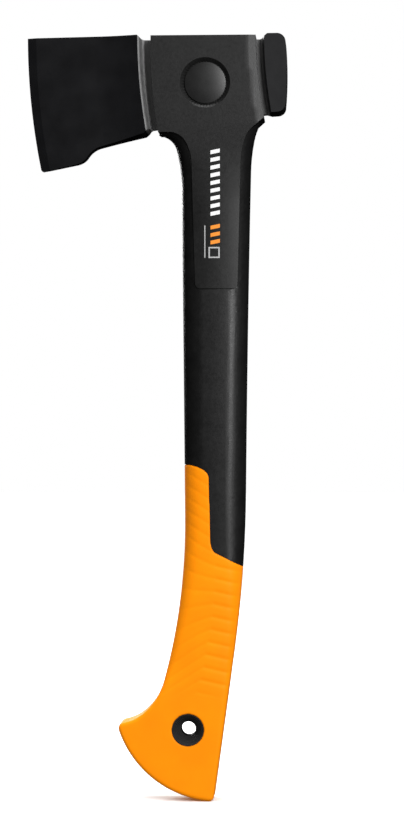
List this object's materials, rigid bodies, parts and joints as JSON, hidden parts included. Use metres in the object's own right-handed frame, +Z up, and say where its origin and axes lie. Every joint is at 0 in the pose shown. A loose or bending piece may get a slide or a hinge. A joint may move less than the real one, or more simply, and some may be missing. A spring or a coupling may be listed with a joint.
{
  "type": "felling axe",
  "caption": "Short axe with a black forged head, moulded collar and composite shaft, soft grip with a hooked butt and a hanging eyelet.",
  "frame": {"origin": "centre of the hanging hole, on the axe's middle plane", "axes": "+Z up the handle to the head, +X towards the poll (-X towards the cutting edge), Y through the thickness along the hanging hole"},
  "size_m": [0.1518, 0.029, 0.4445],
  "materials": {
    "head_steel": "black low-friction coating, satin",
    "pin_steel": "plain",
    "composite": "fine-grained glass-fibre composite",
    "lock_plastic": "satin",
    "soft_grip": "textured soft grip",
    "eyelet_plastic": "gloss, fine turned lines"
  },
  "bodies": {
    "root": {"axe_head": "head_steel", "head_saddle": "composite", "lock_pin": "pin_steel", "lock_ring_front": "lock_plastic", "lock_ring_back": "lock_plastic", "lock_cap_front": "lock_plastic", "lock_cap_back": "lock_plastic", "shaft": "composite", "shaft_end_plug": "composite", "grip": "soft_grip", "hang_eyelet": "eyelet_plastic"}
  },
  "joints": []
}
